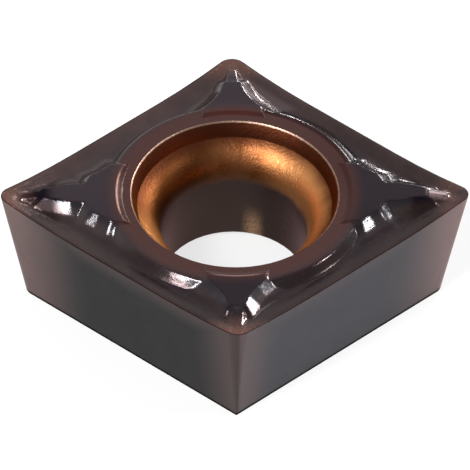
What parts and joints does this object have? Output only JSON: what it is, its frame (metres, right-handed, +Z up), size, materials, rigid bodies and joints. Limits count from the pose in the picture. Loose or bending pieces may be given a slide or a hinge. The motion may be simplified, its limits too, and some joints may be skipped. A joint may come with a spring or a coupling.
{
  "type": "carbide insert",
  "caption": "Rhombic turning insert with relieved flanks, rounded noses, sagging cutting edges, a raised chip breaker island and a countersunk screw hole.",
  "frame": {"origin": "middle of the flat seat face, on the axis of the screw hole", "axes": "+Z up along the screw hole towards the chip breaker; X along the long diagonal, through the 80 degree corners; Y along the short diagonal"},
  "size_m": [0.0144, 0.0122, 0.0041],
  "materials": {
    "coated_carbide": "satin dark brown-grey hard coating, copper coloured in the screw hole's seat"
  },
  "bodies": {
    "root": {"insert_body": "coated_carbide"}
  },
  "joints": []
}
